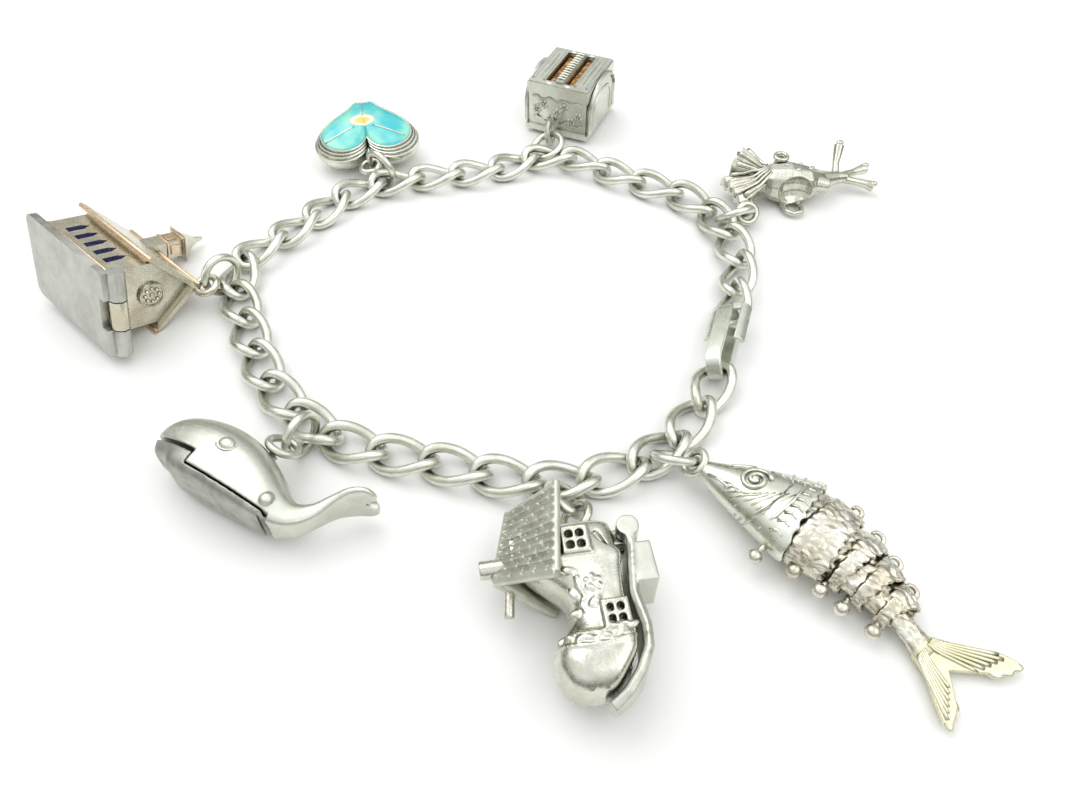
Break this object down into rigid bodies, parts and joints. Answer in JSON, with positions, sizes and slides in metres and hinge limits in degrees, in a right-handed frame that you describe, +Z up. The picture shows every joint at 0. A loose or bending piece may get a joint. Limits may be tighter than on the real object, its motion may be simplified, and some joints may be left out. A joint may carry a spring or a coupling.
{
  "type": "charm bracelet",
  "caption": "Silver curb chain charm bracelet with fold-over clasp, hung with a church, heart, toaster, figure, jointed fish, shoe house and whale.",
  "frame": {"origin": "on the table, under the middle of the bracelet's bounding box", "axes": "+Z up from the table; -Y towards the viewer of the picture, +X to the right"},
  "size_m": [0.1112, 0.1028, 0.0121],
  "materials": {
    "cast_silver": "cast silver, polished high spots and darkened recesses",
    "turquoise_enamel": "glossy translucent enamel",
    "cobalt_enamel": "glossy enamel",
    "toast_enamel": "satin enamel"
  },
  "bodies": {
    "bracelet": {"church_body": "cast_silver", "church_enamel": "cobalt_enamel", "clasp": "cast_silver", "figure": "cast_silver", "fish_head": "cast_silver", "heart_body": "cast_silver", "heart_enamel": "turquoise_enamel", "link_01": "cast_silver", "link_02": "cast_silver", "link_03": "cast_silver", "link_04": "cast_silver", "link_05": "cast_silver", "link_06": "cast_silver", "link_07": "cast_silver", "link_08": "cast_silver", "link_09": "cast_silver", "link_10": "cast_silver", "link_11": "cast_silver", "link_12": "cast_silver", "link_13": "cast_silver", "link_14": "cast_silver", "link_15": "cast_silver", "link_16": "cast_silver", "link_17": "cast_silver", "link_18": "cast_silver", "link_19": "cast_silver", "link_20": "cast_silver", "link_21": "cast_silver", "link_22": "cast_silver", "link_23": "cast_silver", "link_24": "cast_silver", "link_25": "cast_silver", "link_26": "cast_silver", "link_27": "cast_silver", "link_28": "cast_silver", "link_29": "cast_silver", "link_30": "cast_silver", "link_31": "cast_silver", "link_32": "cast_silver", "ring_church": "cast_silver", "ring_figure": "cast_silver", "ring_fish": "cast_silver", "ring_heart": "cast_silver", "ring_shoe": "cast_silver", "ring_toaster": "cast_silver", "ring_whale": "cast_silver", "shoe_body": "cast_silver", "toast_left": "toast_enamel", "toast_right": "toast_enamel", "toaster_body": "cast_silver", "whale_body": "cast_silver"},
    "church_base": {"church_base": "cast_silver"},
    "whale_belly": {"whale_belly": "cast_silver"},
    "shoe_sole": {"shoe_sole": "cast_silver"},
    "fish_segment_1": {"fish_segment_1": "cast_silver"},
    "fish_segment_2": {"fish_segment_2": "cast_silver"},
    "fish_segment_3": {"fish_segment_3": "cast_silver"},
    "fish_segment_4": {"fish_segment_4": "cast_silver"},
    "fish_tail": {"fish_tail": "cast_silver"}
  },
  "joints": [
    {"name": "church_base_hinge", "type": "hinge", "parent": "bracelet", "child": "church_base", "pos_m": [-0.04092, -0.00667, 0.0064], "axis": [0.204, 0.2322, 0.9511], "range_deg": [0, 100]},
    {"name": "whale_belly_hinge", "type": "hinge", "parent": "bracelet", "child": "whale_belly", "pos_m": [-0.01914, -0.03194, 0.0035], "axis": [0, 0, 1], "range_deg": [0, 40]},
    {"name": "shoe_sole_hinge", "type": "hinge", "parent": "bracelet", "child": "shoe_sole", "pos_m": [0.01547, -0.03483, 0.0043], "axis": [0, 0, 1], "range_deg": [0, 70]},
    {"name": "fish_segment_1_bend", "type": "hinge", "parent": "bracelet", "child": "fish_segment_1", "pos_m": [0.03293, -0.03219, 0.00304], "axis": [0.7408, 0.6717, 0], "range_deg": [-6, 6]},
    {"name": "fish_segment_2_bend", "type": "hinge", "parent": "fish_segment_1", "child": "fish_segment_2", "pos_m": [0.03619, -0.03519, 0.00272], "axis": [0.7408, 0.6717, 0], "range_deg": [-6, 6]},
    {"name": "fish_segment_3_bend", "type": "hinge", "parent": "fish_segment_2", "child": "fish_segment_3", "pos_m": [0.03771, -0.03719, 0.00243], "axis": [0.7408, 0.6717, 0], "range_deg": [-6, 6]},
    {"name": "fish_segment_4_bend", "type": "hinge", "parent": "fish_segment_3", "child": "fish_segment_4", "pos_m": [0.03913, -0.03929, 0.00208], "axis": [0.7408, 0.6717, 0], "range_deg": [-6, 6]},
    {"name": "fish_tail_bend", "type": "hinge", "parent": "fish_segment_4", "child": "fish_tail", "pos_m": [0.04041, -0.04151, 0.00177], "axis": [0.7408, 0.6717, 0], "range_deg": [-6, 6]}
  ]
}
